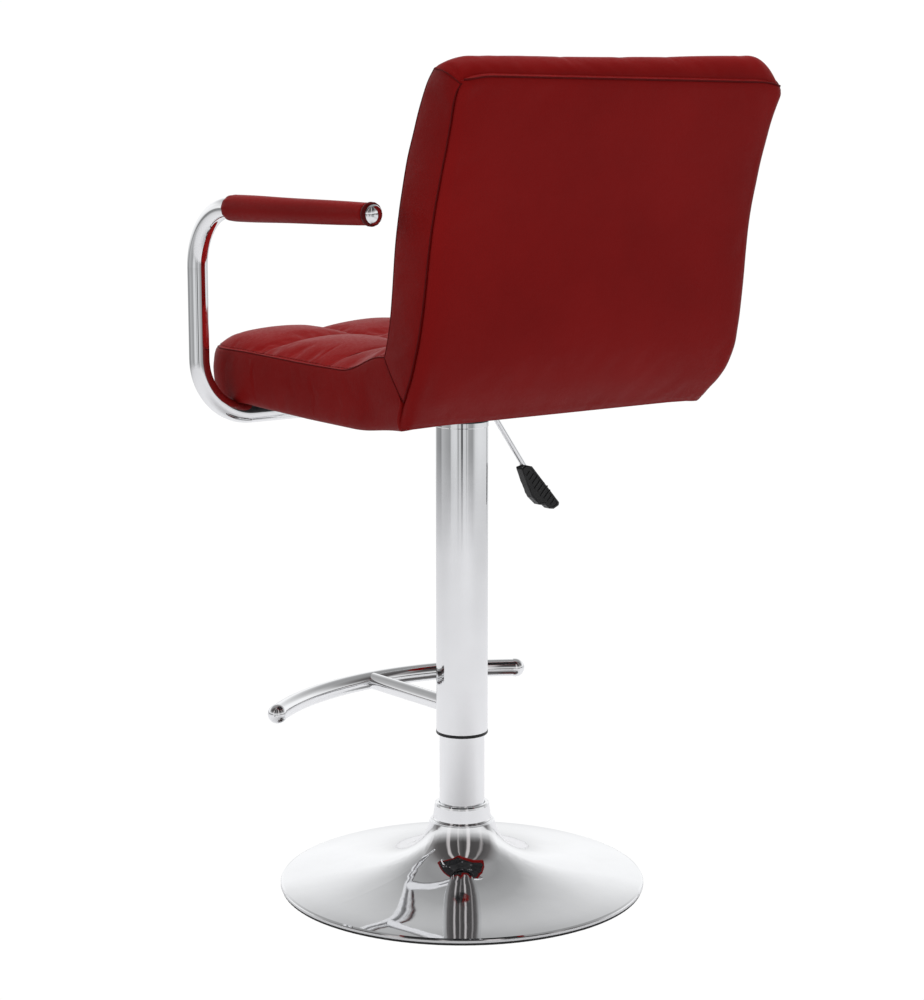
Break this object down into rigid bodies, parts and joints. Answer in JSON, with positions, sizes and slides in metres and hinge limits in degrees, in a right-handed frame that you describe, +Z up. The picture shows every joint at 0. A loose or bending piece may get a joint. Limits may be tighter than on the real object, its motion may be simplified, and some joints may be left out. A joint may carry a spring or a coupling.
{
  "type": "adjustable swivel stool",
  "caption": "Height-adjustable swivel bar stool with quilted seat and back, tubular arms, foot rail, side lever and trumpet base.",
  "frame": {"origin": "column axis at floor level, centre of the face the base ring stands on", "axes": "+Z up along the column, the seat faces -Y, the backrest is at +Y, the height lever is on the sitter's right (-X)"},
  "size_m": [0.4979, 0.4506, 0.8525],
  "materials": {
    "chrome": "mirror-bright chrome plate",
    "red_leather": "wine red faux leather, satin, fine grain",
    "red_upholstery": "wine red faux leather (coated fabric) over foam, quilted, satin",
    "black_plastic": "black moulded plastic, satin",
    "black_rubber": "black rubber, matt",
    "bare_steel": "zinc-plated or ground steel",
    "black_paint": "black powder coat",
    "plywood": "raw bent plywood",
    "black_lining": "black non-woven lining"
  },
  "bodies": {
    "base": {"base_disc": "chrome", "base_ring": "black_rubber", "base_socket": "bare_steel", "base_collar": "chrome", "lower_tube": "chrome", "guide_bush": "black_plastic", "end_plate": "bare_steel", "thrust_race_lower": "bare_steel", "thrust_balls": "bare_steel"},
    "spindle": {"thrust_race_upper": "bare_steel", "rod_clip": "bare_steel", "piston_rod": "bare_steel", "piston": "bare_steel", "bump_stop": "black_rubber"},
    "seat": {"arm_end_plugs": "chrome", "arm_end_rings": "red_leather", "arm_pad_left": "red_leather", "arm_pad_right": "red_leather", "arm_plates": "black_paint", "arm_screws": "bare_steel", "arm_tube_left": "chrome", "arm_tube_right": "chrome", "back_pad": "red_upholstery", "back_panel": "red_leather", "cover_bush": "black_plastic", "cover_flange": "chrome", "cover_tube": "chrome", "footrest_arc": "chrome", "footrest_caps": "chrome", "footrest_strut": "chrome", "gas_cylinder": "black_paint", "lever_housing": "black_paint", "lever_pivot": "bare_steel", "mount_plate": "black_paint", "plate_bolts": "bare_steel", "plate_hub": "black_paint", "seat_pad": "red_upholstery", "seat_shell": "plywood", "tee_nuts": "bare_steel", "under_lining": "black_lining"},
    "lever": {"lever_rod": "chrome", "lever_grip": "black_plastic"},
    "valve": {"valve_pin": "bare_steel"}
  },
  "joints": [
    {"name": "seat_swivel", "type": "hinge", "parent": "base", "child": "spindle", "pos_m": [0, 0, 0.025], "axis": [0, 0, 1], "continuous": true},
    {"name": "seat_height", "type": "slide", "parent": "spindle", "child": "seat", "axis": [0, 0, 1], "range_m": [0, 0.21]},
    {"name": "lever_tilt", "type": "hinge", "parent": "seat", "child": "lever", "pos_m": [-0.022, 0, 0.504], "axis": [0, 1, 0], "range_deg": [0, 7], "stiffness_Nm_per_rad": 2, "springref_deg": -6.88},
    {"name": "valve_press", "type": "slide", "parent": "seat", "child": "valve", "axis": [0, 0, -1], "range_m": [0, 0.003]}
  ],
  "couplings": [
    {"joint": "valve_press", "follows": "lever_tilt", "m_per_rad": 0.022}
  ]
}
